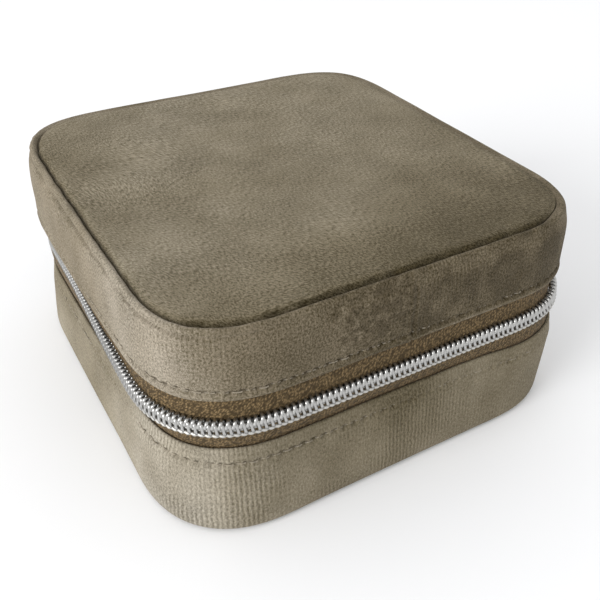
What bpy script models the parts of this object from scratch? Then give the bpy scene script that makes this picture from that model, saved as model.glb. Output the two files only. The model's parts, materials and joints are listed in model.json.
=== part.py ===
"""A square travel jewellery case: a velvet-covered base and lid joined by a fabric hinge and a zip.

The origin is the centre of the underside, +Z is up, and the hinge is at the back, at +Y.
Sizes are in millimetres; the helpers turn them into metres when they make an object.
"""
import math

import bmesh
import bpy
from mathutils import Matrix, Vector

MM = 0.001

# Driving dimensions of the closed case.
HALF_WIDTH = 50.0
HALF_DEPTH = 52.0
HEIGHT = 51.0
CORNER_RADIUS = 24.2
LID_CORNER_RADIUS = 22.3
CORNER_EXPONENT = 2.6
CORNER_STEPS = 8
SMALLEST_CORNER = 4.0
GAP = 0.3

# Layers of the walls, as insets from the outside: velvet, zip tape, board, inner lining.
VELVET = (0.0, 1.2)
TAPE = (1.5, 2.0)
BOARD = (2.3, 4.1)
LINING = (4.4, 5.2)
INNER_PANEL_INSET = LINING[1] + GAP
PANEL_INSET = 2.35

# Heights of the zip, its tapes and the hems beside it.
ZIP_HEIGHT = 29.35
LOWER_HEM = 21.85
UPPER_HEM = 34.48
COIL_HALF_WIDTH = 2.4
COIL_HALF_GAP = 0.5
COIL_PROUD = 1.6
TAPE_HALF_GAP = 0.6
TAPE_TUCK = 4.0
BOARD_CLEARANCE = 4.2
BASE_FLARE = 1.6
WALL_BULGE = 0.5

# Where the zip ends: the closed end on the right wall, the open end round the back left corner.
COIL_END_Y = 26.5
COIL_END_ANGLE = 48.0
TAPE_END_ANGLE = 75.0
STRIP_END_ANGLE = 76.5

# Layers of the base, from the underside up.
BOTTOM_PANEL = (0.0, 1.5)
FLOOR_BOARD = (1.8, 3.8)
FLOOR_LINING = (4.1, 5.6)
BED = (5.9, 8.9)

# Layers of the lid, from the mirror up.
FRAME_LIP = (40.0, 40.6)
GLASS = (40.9, 42.5)
MIRROR_BACKING = (42.8, 44.3)
TOP_BOARD = (44.6, 46.6)
TOP_FOAM = (46.9, 48.9)
PANEL_BASE = 49.2
BAND_TOP = 48.3

# The mirror's frame, which is an L section with its lip over the edge of the glass.
FRAME_HALF = (38.5, 40.5)
FRAME_RADIUS = 8.5
FRAME_WIDTH = 2.2
FRAME_LIP_WIDTH = 3.7

# Ring rolls and compartments.
ROLL_RADIUS = 4.8
ROLL_PITCH = 9.9
FIRST_ROLL_Y = -40.5
ROLL_COUNT = 4
FRONT_ROLL_LENGTH = 70.0
ROLL_LENGTH = 87.0
ROLL_END_ROUND = 1.5
DIVIDER_THICKNESS = 2.0
MAIN_DIVIDER_Y = -3.0
MAIN_DIVIDER_TOP = 26.0
MAIN_DIVIDER_LENGTH = 88.6
DIVIDER_X = (-15.0, 15.0)
DIVIDER_TOP = 25.0
SLOT_DEPTH = 0.8
GUIDE_SIZE = (6.0, 2.0)
GUIDE_SLOT_DEPTH = 1.4

# Zip slider and pull.
SLIDER_Y = 20.0
SLIDER_LENGTH = 11.0
SLIDER_HALF_HEIGHT = 3.7
SLIDER_PLATE = 0.9
POST_THICKNESS = 0.4
POST_LENGTH = 4.0
BAIL_WIDTH = 1.6
BAIL_LENGTH = 8.8
BAIL_BAR = 0.8
PULL_AXIS_X = HALF_WIDTH + COIL_PROUD + GAP + SLIDER_PLATE + 0.9
PULL_THICKNESS = 1.0
PULL_LENGTH = 22.0
PULL_HALF_WIDTH = 2.4
PULL_EYE = (0.6, 5.4)
PULL_EYE_HALF_WIDTH = 1.15

# The hinge line runs along the middle of the fabric strip at the back.
HINGE_Y = HALF_DEPTH - (TAPE[0] + TAPE[1]) / 2

VELVET_OUTER = (0.26, 0.215, 0.165)
VELVET_INNER = (0.30, 0.255, 0.205)
BOARD_GREY = (0.34, 0.30, 0.25)
TAPE_BRONZE = (0.20, 0.145, 0.095)
METAL = (0.72, 0.69, 0.64)
FOAM_CREAM = (0.80, 0.78, 0.70)
FRAME_GOLD = (0.55, 0.42, 0.30)
MIRROR_SILVER = (0.90, 0.92, 0.92)


# ---------------------------------------------------------------- scene and materials

def clear_scene():
    for item in list(bpy.data.objects):
        bpy.data.objects.remove(item, do_unlink=True)


def new_collection(name):
    collection = bpy.data.collections.new(name)
    bpy.context.scene.collection.children.link(collection)
    return collection


clear_scene()
CASE = new_collection("travel_jewellery_case")
GUIDES = new_collection("guides")


def finish_material(item, colour, roughness, metallic=0.0):
    """Give the object a Principled material of its own."""
    material = bpy.data.materials.new(item.name + "_finish")
    material.use_nodes = True
    shader = material.node_tree.nodes["Principled BSDF"]
    shader.inputs["Base Color"].default_value = (*colour, 1.0)
    shader.inputs["Roughness"].default_value = roughness
    shader.inputs["Metallic"].default_value = metallic
    material.diffuse_color = (*colour, 1.0)
    item.data.materials.append(material)
    return item


def velvet(item, colour=VELVET_OUTER):
    return finish_material(item, colour, 0.9)


def board(item):
    return finish_material(item, BOARD_GREY, 0.8)


def woven(item):
    return finish_material(item, TAPE_BRONZE, 0.75)


def metal(item):
    return finish_material(item, METAL, 0.28, 1.0)


def make_guide(item):
    item.hide_render = True
    item.display_type = "WIRE"


def link(item, guide=False):
    (GUIDES if guide else CASE).objects.link(item)
    if guide:
        make_guide(item)
    return item


def ride_on(parent, items):
    """Parent the objects without moving them."""
    for item in items:
        item.parent = parent
        item.matrix_parent_inverse = parent.matrix_world.inverted()


def axis_empty(name, place):
    empty = bpy.data.objects.new(name, None)
    empty.location = Vector(place) * MM
    empty.empty_display_size = 5 * MM
    CASE.objects.link(empty)
    bpy.context.view_layer.update()
    return empty


# ---------------------------------------------------------------- outlines of the case

def corner_point(inset, radius, degrees, half=(HALF_WIDTH, HALF_DEPTH)):
    """A point on the back right corner, which is a quarter of a superellipse."""
    small = max(radius - inset, SMALLEST_CORNER)
    angle = math.radians(degrees)
    power = 2 / CORNER_EXPONENT
    across = max(math.cos(angle), 0.0) ** power
    along = max(math.sin(angle), 0.0) ** power
    return (half[0] - inset - small * (1 - across), half[1] - inset - small * (1 - along))


def corner(inset, radius, first, last, half=(HALF_WIDTH, HALF_DEPTH)):
    turns = [first + (last - first) * step / CORNER_STEPS for step in range(CORNER_STEPS + 1)]
    return [corner_point(inset, radius, turn, half) for turn in turns]


def mirrored(points, x_sign, y_sign):
    return [(x * x_sign, y * y_sign) for x, y in points]


def outline(inset, radius=CORNER_RADIUS, half=(HALF_WIDTH, HALF_DEPTH)):
    """The closed outline, clockwise from the back right corner."""
    there = corner(inset, radius, 90, 0, half)
    back = there[::-1]
    return (there + mirrored(back, 1, -1) + mirrored(there, -1, -1) + mirrored(back, -1, 1))


def lid_outline(inset):
    return outline(inset, LID_CORNER_RADIUS)


def frame_outline(inset):
    return outline(inset, FRAME_RADIUS, FRAME_HALF)


def front_outline(inset, back_y):
    """The part of the outline in front of a straight line across the case."""
    front = [point for point in outline(inset) if point[1] < back_y]
    side = HALF_WIDTH - inset
    return [(side, back_y)] + front + [(-side, back_y)]


def zip_route(inset, start, last):
    """The open route of the zip, clockwise from the right wall to the back left corner."""
    front_right = mirrored(corner(inset, CORNER_RADIUS, 0, 90), 1, -1)
    front_left = mirrored(corner(inset, CORNER_RADIUS, 90, 0), -1, -1)
    back_left = mirrored(corner(inset, CORNER_RADIUS, 0, last), -1, 1)
    return start + front_right + front_left + back_left


def tape_route(inset):
    return zip_route(inset, corner(inset, CORNER_RADIUS, TAPE_END_ANGLE, 0), TAPE_END_ANGLE)


def coil_route(inset):
    return zip_route(inset, [(HALF_WIDTH - inset, COIL_END_Y)], COIL_END_ANGLE)


def hinge_route(inset):
    """The run across the back, clockwise, so from left to right."""
    right = corner(inset, CORNER_RADIUS, 90, STRIP_END_ANGLE)
    return mirrored(right[::-1], -1, 1) + right


# ---------------------------------------------------------------- shape helpers

def flat_curve(name, loops, guide, closed=True):
    """A 2D curve of straight-sided splines, in metres."""
    curve = bpy.data.curves.new(name, "CURVE")
    curve.dimensions = "2D"
    curve.fill_mode = "NONE"
    for points in loops:
        spline = curve.splines.new("POLY")
        spline.points.add(len(points) - 1)
        for knot, (x, y) in zip(spline.points, points):
            knot.co = (x * MM, y * MM, 0, 1)
        spline.use_cyclic_u = closed
    return link(bpy.data.objects.new(name, curve), guide)


def swept(name, route, profile, closed=True):
    """Sweep a cross-section round a route. Profile points are (inset, height).

    The route is a function of the inset, so the wall's outer face follows it exactly.
    The profile is drawn anticlockwise: up the outer face, then down the inner one.
    """
    outer = min(inset for inset, _ in profile)
    section = [(inset - outer, height) for inset, height in profile]
    section_curve = flat_curve(name + "_section", [section], guide=True)
    item = flat_curve(name, [route(outer)], guide=False, closed=closed)
    item.data.bevel_mode = "OBJECT"
    item.data.bevel_object = section_curve
    item.data.use_fill_caps = not closed
    return item


def strip_profile(layer, low, high):
    outer, inner = layer
    return [(outer, low), (outer, high), (inner, high), (inner, low)]


def plate(name, loops, low, high, guide=False):
    """A flat plate between two heights. A second loop is a hole."""
    item = flat_curve(name, loops, guide)
    item.data.fill_mode = "BOTH"
    item.data.extrude = (high - low) / 2 * MM
    item.location.z = (low + high) / 2 * MM
    return item


def block(name, low, high, rounding=0.0, guide=False):
    """A box between two corners, with its origin at its centre."""
    mesh = bpy.data.meshes.new(name)
    shape = bmesh.new()
    bmesh.ops.create_cube(shape, size=1.0)
    size = Vector(high) - Vector(low)
    bmesh.ops.scale(shape, vec=size * MM, verts=shape.verts)
    shape.to_mesh(mesh)
    shape.free()
    item = bpy.data.objects.new(name, mesh)
    item.location = (Vector(low) + Vector(high)) / 2 * MM
    if rounding:
        bevel = item.modifiers.new("rounded_edges", "BEVEL")
        bevel.width = rounding * MM
        bevel.segments = 2
    return link(item, guide)


def combine(item, tool, operation):
    step = item.modifiers.new(tool.name, "BOOLEAN")
    step.operation = operation
    step.object = tool
    return item


def shade_smooth(item):
    item.data.shade_smooth()
    item.data.set_sharp_from_angle(angle=math.radians(40))
    return item


def turned_roll(name, radius, length, rounding):
    """A cushion roll about its own Z: a half outline turned by a Screw modifier."""
    half = length / 2
    chamfer = rounding * 0.3
    outline_points = [(0, half), (radius - rounding, half), (radius - chamfer, half - chamfer),
                      (radius, half - rounding), (radius, rounding - half),
                      (radius - chamfer, chamfer - half), (radius - rounding, -half), (0, -half)]
    mesh = bpy.data.meshes.new(name)
    shape = bmesh.new()
    knots = [shape.verts.new((x * MM, 0, z * MM)) for x, z in outline_points]
    for upper, lower in zip(knots, knots[1:]):
        shape.edges.new((upper, lower))
    shape.to_mesh(mesh)
    shape.free()
    item = link(bpy.data.objects.new(name, mesh))
    return add_turn(item)


def add_turn(item):
    turn = item.modifiers.new("turn", "SCREW")
    turn.axis = "Z"
    turn.steps = 16
    turn.render_steps = 16
    turn.use_merge_vertices = True
    turn.merge_threshold = 0.00001
    turn.use_smooth_shade = True
    return item


def crowned_panel(name, sections, radius):
    """A domed panel: a loft of shrinking outlines, from its flat underside to its crown."""
    mesh = bpy.data.meshes.new(name)
    shape = bmesh.new()
    rings = []
    for inset, height in sections:
        ring = [shape.verts.new((x * MM, y * MM, height * MM)) for x, y in outline(inset, radius)]
        rings.append(ring)
    count = len(rings[0])
    for lower, upper in zip(rings, rings[1:]):
        for near in range(count):
            far = (near + 1) % count
            shape.faces.new((lower[far], lower[near], upper[near], upper[far]))
    shape.faces.new(rings[0])
    shape.faces.new(rings[-1][::-1])
    bmesh.ops.recalc_face_normals(shape, faces=shape.faces)
    shape.to_mesh(mesh)
    shape.free()
    return shade_smooth(link(bpy.data.objects.new(name, mesh)))


# ---------------------------------------------------------------- base

def base_shell():
    velvet(plate("base_bottom_panel", [outline(VELVET[1] + 2 * GAP)], *BOTTOM_PANEL))
    board(plate("base_floor_board", [outline(BOARD[0])], *FLOOR_BOARD))
    board_top = ZIP_HEIGHT - BOARD_CLEARANCE
    board(swept("base_wall_board", outline, strip_profile(BOARD, FLOOR_BOARD[1] + GAP, board_top)))
    skin = [(-0.6, 0.6), (-1.5, 1.6), (-BASE_FLARE, 3.0), (-1.1, 8.0), (-0.7, 14.0), (-WALL_BULGE, 18.0),
            (-0.3, LOWER_HEM - 1), (0.3, LOWER_HEM), (VELVET[1], LOWER_HEM), (VELVET[1], 0.6)]
    velvet(swept("base_side_band", outline, skin))


def base_lining():
    velvet(plate("base_lining_floor", [outline(INNER_PANEL_INSET)], *FLOOR_LINING), VELVET_INNER)
    wall = strip_profile(LINING, FLOOR_LINING[0], ZIP_HEIGHT - GAP)
    velvet(swept("base_lining_wall", outline, wall), VELVET_INNER)


def ring_rolls():
    bed_back = MAIN_DIVIDER_Y - DIVIDER_THICKNESS / 2 - GAP
    velvet(plate("ring_bed", [front_outline(INNER_PANEL_INSET, bed_back)], *BED), VELVET_INNER)
    height = BED[1] + GAP + ROLL_RADIUS
    for number in range(ROLL_COUNT):
        length = ROLL_LENGTH if number else FRONT_ROLL_LENGTH
        roll = turned_roll(f"ring_roll_{number + 1}", ROLL_RADIUS, length, ROLL_END_ROUND)
        roll.rotation_euler = (0, math.pi / 2, 0)
        roll.location = Vector((0, FIRST_ROLL_Y + number * ROLL_PITCH, height)) * MM
        velvet(roll, VELVET_INNER)


def compartments():
    """The fixed wall behind the rolls, and two lift-out dividers held in slots."""
    floor = FLOOR_LINING[1] + GAP
    half = DIVIDER_THICKNESS / 2
    wall_back = MAIN_DIVIDER_Y + half
    half_length = MAIN_DIVIDER_LENGTH / 2
    wall = block("main_divider", (-half_length, MAIN_DIVIDER_Y - half, floor),
                 (half_length, wall_back, MAIN_DIVIDER_TOP))
    velvet(wall, VELVET_INNER)
    guide_back = HALF_DEPTH - INNER_PANEL_INSET
    guide_front = guide_back - GUIDE_SIZE[1]
    slot_half = half + GAP
    dividers = []
    for number, x in enumerate(DIVIDER_X, start=1):
        wall_slot = block(f"wall_slot_{number}", (x - slot_half, wall_back - SLOT_DEPTH, floor - 1),
                          (x + slot_half, wall_back + 1, MAIN_DIVIDER_TOP + 1), guide=True)
        combine(wall, wall_slot, "DIFFERENCE")
        guide = block(f"rear_guide_{number}", (x - GUIDE_SIZE[0] / 2, guide_front, floor),
                      (x + GUIDE_SIZE[0] / 2, guide_back, DIVIDER_TOP))
        guide_slot = block(f"guide_slot_{number}", (x - slot_half, guide_front - 1, floor - 1),
                           (x + slot_half, guide_front + GUIDE_SLOT_DEPTH, DIVIDER_TOP + 1), guide=True)
        combine(guide, guide_slot, "DIFFERENCE")
        velvet(guide, VELVET_INNER)
        divider = block(f"lift_out_divider_{number}", (x - half, wall_back - SLOT_DEPTH + GAP, floor),
                        (x + half, guide_front + GUIDE_SLOT_DEPTH - GAP, DIVIDER_TOP), rounding=0.5)
        dividers.append(velvet(divider, VELVET_INNER))
    return dividers


# ---------------------------------------------------------------- lid

def lid_shell():
    skin = [(0.3, UPPER_HEM), (-0.3, UPPER_HEM + 1), (-WALL_BULGE, 38.0), (-WALL_BULGE, 42.0), (-0.2, 46.0),
            (0.1, BAND_TOP), (VELVET[1], BAND_TOP), (VELVET[1], UPPER_HEM)]
    roll = [(0.3, BAND_TOP + GAP), (-0.1, 49.3), (0.15, 50.3), (0.6, HEIGHT - 0.15), (1.1, HEIGHT),
            (1.7, HEIGHT - 0.3), (2.0, HEIGHT - 1), (2.0, BAND_TOP + GAP)]
    crown = [(PANEL_INSET, PANEL_BASE), (PANEL_INSET, HEIGHT - 0.7), (2.9, HEIGHT - 0.25),
             (5.0, HEIGHT - 0.05), (12.0, HEIGHT + 0.15), (24.0, HEIGHT + 0.35), (38.0, HEIGHT + 0.5)]
    wall = strip_profile(BOARD, ZIP_HEIGHT + BOARD_CLEARANCE, TOP_FOAM[1])
    return [
        velvet(swept("lid_side_band", lid_outline, skin)),
        velvet(swept("lid_edge_roll", lid_outline, roll)),
        velvet(crowned_panel("lid_top_panel", crown, LID_CORNER_RADIUS)),
        board(swept("lid_wall_board", outline, wall)),
        board(plate("lid_top_board", [outline(BOARD[1] + GAP)], *TOP_BOARD)),
        finish_material(plate("lid_top_foam", [outline(BOARD[1] + GAP)], *TOP_FOAM), FOAM_CREAM, 0.95),
    ]


def lid_lining():
    lining_wall = strip_profile(LINING, ZIP_HEIGHT + GAP, TOP_BOARD[0] - GAP)
    frame = [(0, FRAME_LIP[0]), (0, GLASS[1]), (FRAME_WIDTH, GLASS[1]), (FRAME_WIDTH, FRAME_LIP[1]),
             (FRAME_LIP_WIDTH, FRAME_LIP[1]), (FRAME_LIP_WIDTH, FRAME_LIP[0])]
    glass = plate("mirror_glass", [frame_outline(FRAME_WIDTH + GAP)], *GLASS)
    return [
        velvet(swept("lid_lining_wall", outline, lining_wall), VELVET_INNER),
        velvet(plate("mirror_backing", [outline(INNER_PANEL_INSET)], *MIRROR_BACKING), VELVET_INNER),
        finish_material(swept("mirror_frame", frame_outline, frame), FRAME_GOLD, 0.35, 1.0),
        finish_material(glass, MIRROR_SILVER, 0.03, 1.0),
    ]


# ---------------------------------------------------------------- zip and hinge strip

def coil_profile(side):
    """One row of the coil, below the zip's middle line (side -1) or above it (side 1)."""
    far = ZIP_HEIGHT + side * COIL_HALF_WIDTH
    near = ZIP_HEIGHT + side * COIL_HALF_GAP
    back = TAPE[0] - GAP
    points = [(back, far), (-COIL_PROUD + 0.5, far), (-COIL_PROUD, far - side * 0.5),
              (-COIL_PROUD, near + side * 0.4), (-COIL_PROUD + 0.4, near), (back, near)]
    return points if side < 0 else points[::-1]


def zip_half(row, side):
    """The tape, coil and hinge strip on one side of the zip's middle line."""
    near = ZIP_HEIGHT + side * TAPE_HALF_GAP
    far = LOWER_HEM - TAPE_TUCK if side < 0 else UPPER_HEM + TAPE_TUCK
    strip = strip_profile(TAPE, min(near, far), max(near, far))
    return [
        woven(swept(f"{row}_zip_tape", tape_route, strip, closed=False)),
        metal(swept(f"{row}_zip_coil", coil_route, coil_profile(side), closed=False)),
        velvet(swept(f"hinge_strip_{row}", hinge_route, strip, closed=False)),
    ]


def zip_stop(name, place, angle, low, high):
    """A small crimped metal stop standing square to the wall at one end of the coil."""
    depth = TAPE[0] - GAP + COIL_PROUD
    item = block(name, (-depth / 2, -0.9, low), (depth / 2, 0.9, high), rounding=0.25)
    outward = Matrix.Rotation(angle, 4, "Z")
    middle = Matrix.Translation((place[0] * MM, place[1] * MM, (low + high) / 2 * MM))
    item.matrix_world = middle @ outward
    return metal(item)


def zip_stops(row, low, high):
    """The crimped stops at both ends of one row of the coil."""
    depth_middle = (TAPE[0] - GAP - COIL_PROUD) / 2
    right = (HALF_WIDTH - depth_middle, COIL_END_Y + 1.3)
    turn = COIL_END_ANGLE + 7
    x, y = corner_point(depth_middle, CORNER_RADIUS, turn)
    ahead = corner_point(depth_middle, CORNER_RADIUS, turn + 2)
    behind = corner_point(depth_middle, CORNER_RADIUS, turn - 2)
    lean = math.atan2(behind[0] - ahead[0], ahead[1] - behind[1])
    return [
        zip_stop(f"zip_stop_right_{row}", right, 0.0, low, high),
        zip_stop(f"zip_stop_left_{row}", (-x, y), -lean, low, high),
    ]


def zip_slider():
    """Two plates either side of the chain, joined by a thin post, with an arch for the pull."""
    half = SLIDER_LENGTH / 2
    outer_low = HALF_WIDTH + COIL_PROUD + GAP
    outer_high = outer_low + SLIDER_PLATE
    inner_high = HALF_WIDTH - TAPE[1] - GAP
    inner_low = inner_high - SLIDER_PLATE
    low = ZIP_HEIGHT - SLIDER_HALF_HEIGHT
    high = ZIP_HEIGHT + SLIDER_HALF_HEIGHT
    body = block("zip_slider", (outer_low, SLIDER_Y - half, low), (outer_high, SLIDER_Y + half, high),
                 rounding=0.3)
    inner = block("slider_inner_plate", (inner_low, SLIDER_Y - half + 0.5, low + 0.2),
                  (inner_high, SLIDER_Y + half - 0.5, high - 0.2), guide=True)
    post_back = SLIDER_Y + half - 1
    post = block("slider_post",
                 (inner_high - 0.3, post_back - POST_LENGTH, ZIP_HEIGHT - POST_THICKNESS / 2),
                 (outer_low + 0.3, post_back, ZIP_HEIGHT + POST_THICKNESS / 2), guide=True)
    flange = block("slider_flange", (HALF_WIDTH - TAPE[0] + GAP, SLIDER_Y - half + 0.4, low + 0.1),
                   (outer_low + 0.3, SLIDER_Y + half - 0.4, ZIP_HEIGHT - COIL_HALF_WIDTH - GAP), guide=True)
    arch_low = PULL_AXIS_X + 0.9
    arch = block("slider_arch", (outer_high - 0.3, SLIDER_Y - BAIL_LENGTH / 2, ZIP_HEIGHT - BAIL_WIDTH / 2),
                 (arch_low + BAIL_BAR, SLIDER_Y + BAIL_LENGTH / 2, ZIP_HEIGHT + BAIL_WIDTH / 2), guide=True)
    opening = block("slider_arch_opening",
                    (outer_high - 1, SLIDER_Y - BAIL_LENGTH / 2 + BAIL_BAR, ZIP_HEIGHT - BAIL_WIDTH),
                    (arch_low, SLIDER_Y + BAIL_LENGTH / 2 - BAIL_BAR, ZIP_HEIGHT + BAIL_WIDTH), guide=True)
    combine(arch, opening, "DIFFERENCE")
    for tool in (inner, post, flange, arch):
        combine(body, tool, "UNION")
    return metal(body)


def pull_outline():
    """The pull's flat outline, its length along local X from the swing axis at 0."""
    nose = 6
    tip_centre = PULL_LENGTH - PULL_HALF_WIDTH
    end = [(tip_centre + PULL_HALF_WIDTH * math.sin(math.pi * step / nose),
            -PULL_HALF_WIDTH * math.cos(math.pi * step / nose)) for step in range(nose + 1)]
    return [(-0.6, -PULL_HALF_WIDTH)] + end + [(-0.6, PULL_HALF_WIDTH)]


def pull_eye():
    low, high = PULL_EYE
    side = PULL_EYE_HALF_WIDTH
    return [(low, -side), (high, -side), (high, side), (low, side)]


def zip_pull():
    """A flat tab whose eye goes round the slider's arch. It swings about a line along Z."""
    item = plate("zip_pull", [pull_outline(), pull_eye()], -PULL_THICKNESS / 2, PULL_THICKNESS / 2)
    place = Matrix.Translation(Vector((PULL_AXIS_X, SLIDER_Y, ZIP_HEIGHT)) * MM)
    item.matrix_world = place @ Matrix(((0, 0, 1, 0), (-1, 0, 0, 0), (0, -1, 0, 0), (0, 0, 0, 1)))
    return metal(item)


# ---------------------------------------------------------------- assembly

def assemble():
    base_shell()
    base_lining()
    ring_rolls()
    compartments()
    lid = lid_shell() + lid_lining()
    zip_half("lower", -1)
    zip_stops("lower", ZIP_HEIGHT - COIL_HALF_WIDTH, ZIP_HEIGHT - COIL_HALF_GAP)
    lid += zip_half("upper", 1)
    lid += zip_stops("upper", ZIP_HEIGHT + COIL_HALF_GAP, ZIP_HEIGHT + COIL_HALF_WIDTH)
    slider = zip_slider()
    pull = zip_pull()
    bpy.context.view_layer.update()
    ride_on(axis_empty("lid_hinge_axis", (0, HINGE_Y, ZIP_HEIGHT)), lid)
    ride_on(slider, [pull])


assemble()
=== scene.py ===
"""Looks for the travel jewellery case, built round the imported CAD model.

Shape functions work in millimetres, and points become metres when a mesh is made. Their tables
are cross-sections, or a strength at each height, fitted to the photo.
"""
import json
import math

import bmesh
import bpy
import numpy as np
from mathutils import Matrix, Vector


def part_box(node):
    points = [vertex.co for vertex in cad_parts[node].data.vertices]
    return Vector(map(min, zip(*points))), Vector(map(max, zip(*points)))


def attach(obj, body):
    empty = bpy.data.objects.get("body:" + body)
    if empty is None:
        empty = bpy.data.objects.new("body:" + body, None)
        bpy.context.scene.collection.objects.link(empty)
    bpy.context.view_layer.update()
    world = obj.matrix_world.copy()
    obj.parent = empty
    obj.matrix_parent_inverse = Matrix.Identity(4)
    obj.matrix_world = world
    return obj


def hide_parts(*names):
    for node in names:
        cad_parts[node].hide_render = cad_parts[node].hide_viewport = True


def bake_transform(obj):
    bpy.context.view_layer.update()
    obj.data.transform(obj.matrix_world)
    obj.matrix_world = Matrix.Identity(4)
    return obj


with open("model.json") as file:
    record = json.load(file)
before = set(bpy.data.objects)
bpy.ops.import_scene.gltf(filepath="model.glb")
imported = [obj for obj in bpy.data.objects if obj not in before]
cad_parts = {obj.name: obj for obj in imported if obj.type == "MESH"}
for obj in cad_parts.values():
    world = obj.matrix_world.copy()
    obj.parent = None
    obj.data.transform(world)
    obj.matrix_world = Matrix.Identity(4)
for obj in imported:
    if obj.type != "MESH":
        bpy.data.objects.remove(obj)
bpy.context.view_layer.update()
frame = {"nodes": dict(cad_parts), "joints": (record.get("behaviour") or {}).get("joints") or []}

MM = 0.001
BASE = "case_base"
LID = "lid"


def limits(node):
    """The lowest and highest corners of a CAD node, in millimetres."""
    low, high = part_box(node)
    return np.array(low) / MM, np.array(high) / MM


# ---- sizes read from the frame

TAPE_INSET = 1.5
HALF_WIDTH = TAPE_INSET - limits("lower_zip_tape")[0][0]
HALF_DEPTH = TAPE_INSET - limits("lower_zip_tape")[0][1]
HINGE = next(joint for joint in frame["joints"] if joint["name"] == "lid_hinge")
ZIP_Z = HINGE["pos_m"][2] / MM
LOWER_HEM = limits("base_side_band")[1][2]
UPPER_HEM = limits("lid_side_band")[0][2]
LID_TOP = limits("lid_edge_roll")[1][2]
CROWN_TOP = limits("lid_top_panel")[1][2]
COIL_END_Y = limits("zip_stop_right_lower")[0][1] - 0.4

# ---- sizes fitted to the photo, or typical of such a case

COIL_END_ANGLE = 48.0
TAPE_END_ANGLE = 75.0
CORNER_RADIUS = 24.2
LID_CORNER_RADIUS = 22.3
CORNER_EXPONENT = 2.6
CORNER_STEPS = 60
ROUND_GAIN = 0.33
LEFT_BOW = 0.7
FRONT_BOW = 0.5
CORNER_SWELL = 2.1
FOOT_SWELL = 0.7
BACK_LIFT = 0.7
ZIP_SAG = 2.1

STITCH = 2.4
STITCH_RADIUS = 0.13
STITCH_DEPTH = 1.0
LID_HEM = UPPER_HEM + 0.85
BASE_HEM = LOWER_HEM - 0.25
LID_STITCH_Z = LID_HEM + 1.9
BASE_STITCH_Z = BASE_HEM - 3.4
PATCH_X = (-19.0, 0.0)

# The chain: 1 is the upper row and -1 the lower one. A turn of the wire is given by its share of
# the pitch along the chain, its reach from the middle line, its distance out from the wall and
# its relative thickness.
COIL_PITCH = 1.30
CHAIN_OUT = 1.0
COIL_MARGIN = 0.8
CORD_MARGIN = 0.6
WIRE = 0.36
WIRE_SIDES = 7
RAIL_SIDES = 8
MEET = 0.25
ROW_REACH = {1: 1.32, -1: 1.45}
CORE_HEIGHT = {1: 0.7, -1: -0.75}
CORE_RADIUS = {1: 0.3, -1: 0.4}
TURN_ALONG = [0.0, 0.03, 0.09, 0.16, 0.24, 0.31, 0.38, 0.46, 0.60, 0.76, 0.90, 0.98]
TURN_REACH = [1.0, 1.0, 0.88, 0.66, 0.42, 0.14, -0.14, -0.16, 0.15, 0.5, 0.8, 0.95]
TURN_OUT = [0.20, 0.62, 0.98, 1.06, 1.02, 0.96, 0.86, 0.45, 0.10, 0.0, -0.05, 0.0]
TURN_WIDTH = [0.9, 1.0, 1.05, 1.05, 1.0, 1.15, 1.45, 1.2, 0.9, 0.9, 0.9, 0.9]

PANEL_COLUMNS = 720
LINING_COLUMNS = 360
BOARD_ROUNDING = 0.55
BOARD_STEP = 0.8
SLOT_DEPTH = 0.8
SLOT_HALF = 1.55
SHARP_ANGLE = math.radians(40)

SIM_SCALE = 40.0
SIM_FRAMES = 20
ROLL_PRESSURE = 6.0
ROLL_CAP = 0.2
ROLL_RINGS = 30
ROLL_STEP = 1.4

# ---- colours, linear

VELVET_DARK = (0.066, 0.053, 0.028)
VELVET_LIGHT = (0.272, 0.234, 0.166)
WALL_LIGHT = (0.276, 0.233, 0.172)
VELVET_SHEEN = (0.80, 0.72, 0.60)
LINING_DARK = (0.135, 0.112, 0.078)
LINING_LIGHT = (0.31, 0.27, 0.20)
TAPE_DARK = (0.054, 0.036, 0.016)
TAPE_LIGHT = (0.37, 0.255, 0.125)
THREAD = (0.33, 0.28, 0.20)
CORE_GREY = (0.16, 0.16, 0.155)
SILVER = (0.53, 0.525, 0.51)
CORD_SILVER = (0.62, 0.61, 0.58)
STEEL = (0.62, 0.61, 0.60)
CHAMPAGNE_COAT = (0.55, 0.42, 0.30)
BOARD_GREYS = (0.20, 0.19, 0.17), (0.36, 0.34, 0.31)
FOAM_CREAMS = (0.52, 0.50, 0.44), (0.72, 0.70, 0.63)
MIRROR_SILVERS = (0.86, 0.88, 0.88), (0.93, 0.94, 0.94)
FLOOR_WHITE = (0.895, 0.90, 0.912)

# ---- camera and light

CAMERA_PLACE_MM = (-79.655, -145.98, 132.382)
CAMERA_AZIMUTH = math.radians(-30.142)
CAMERA_ELEVATION = math.radians(35.953)
CAMERA_ROLL = math.radians(0.267)
FOCAL_LENGTH = 46.81
SENSOR_WIDTH = 36.0
NEAR_CLIP = 0.01
FLOOR_REACH = 6.0
SKY_STRENGTH = 0.95
KEY_PLACE = (-1.62, -0.30, 0.62)
KEY_TARGET = (0, 0, 0.02)
KEY_SIZE = 1.0
KEY_POWER = 25.0


# ---- small functions of numbers

def unit(value):
    return np.clip(value, 0, 1)


def ease(value, low, high):
    """0 below low and 1 above high, with a smooth rise between them."""
    t = unit((value - low) / (high - low))
    return t * t * (3 - 2 * t)


def bell(distance, width):
    return np.exp(-(distance / width) ** 2)


def parts(points):
    """The x, y and z of points (..., 3), as views that can be changed in place."""
    return points[..., 0], points[..., 1], points[..., 2]


def near(points, x, y, reach):
    """1 at one place on the plan, and less with the distance from it."""
    return bell(np.hypot(points[..., 0] - x, points[..., 1] - y), reach)


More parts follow.
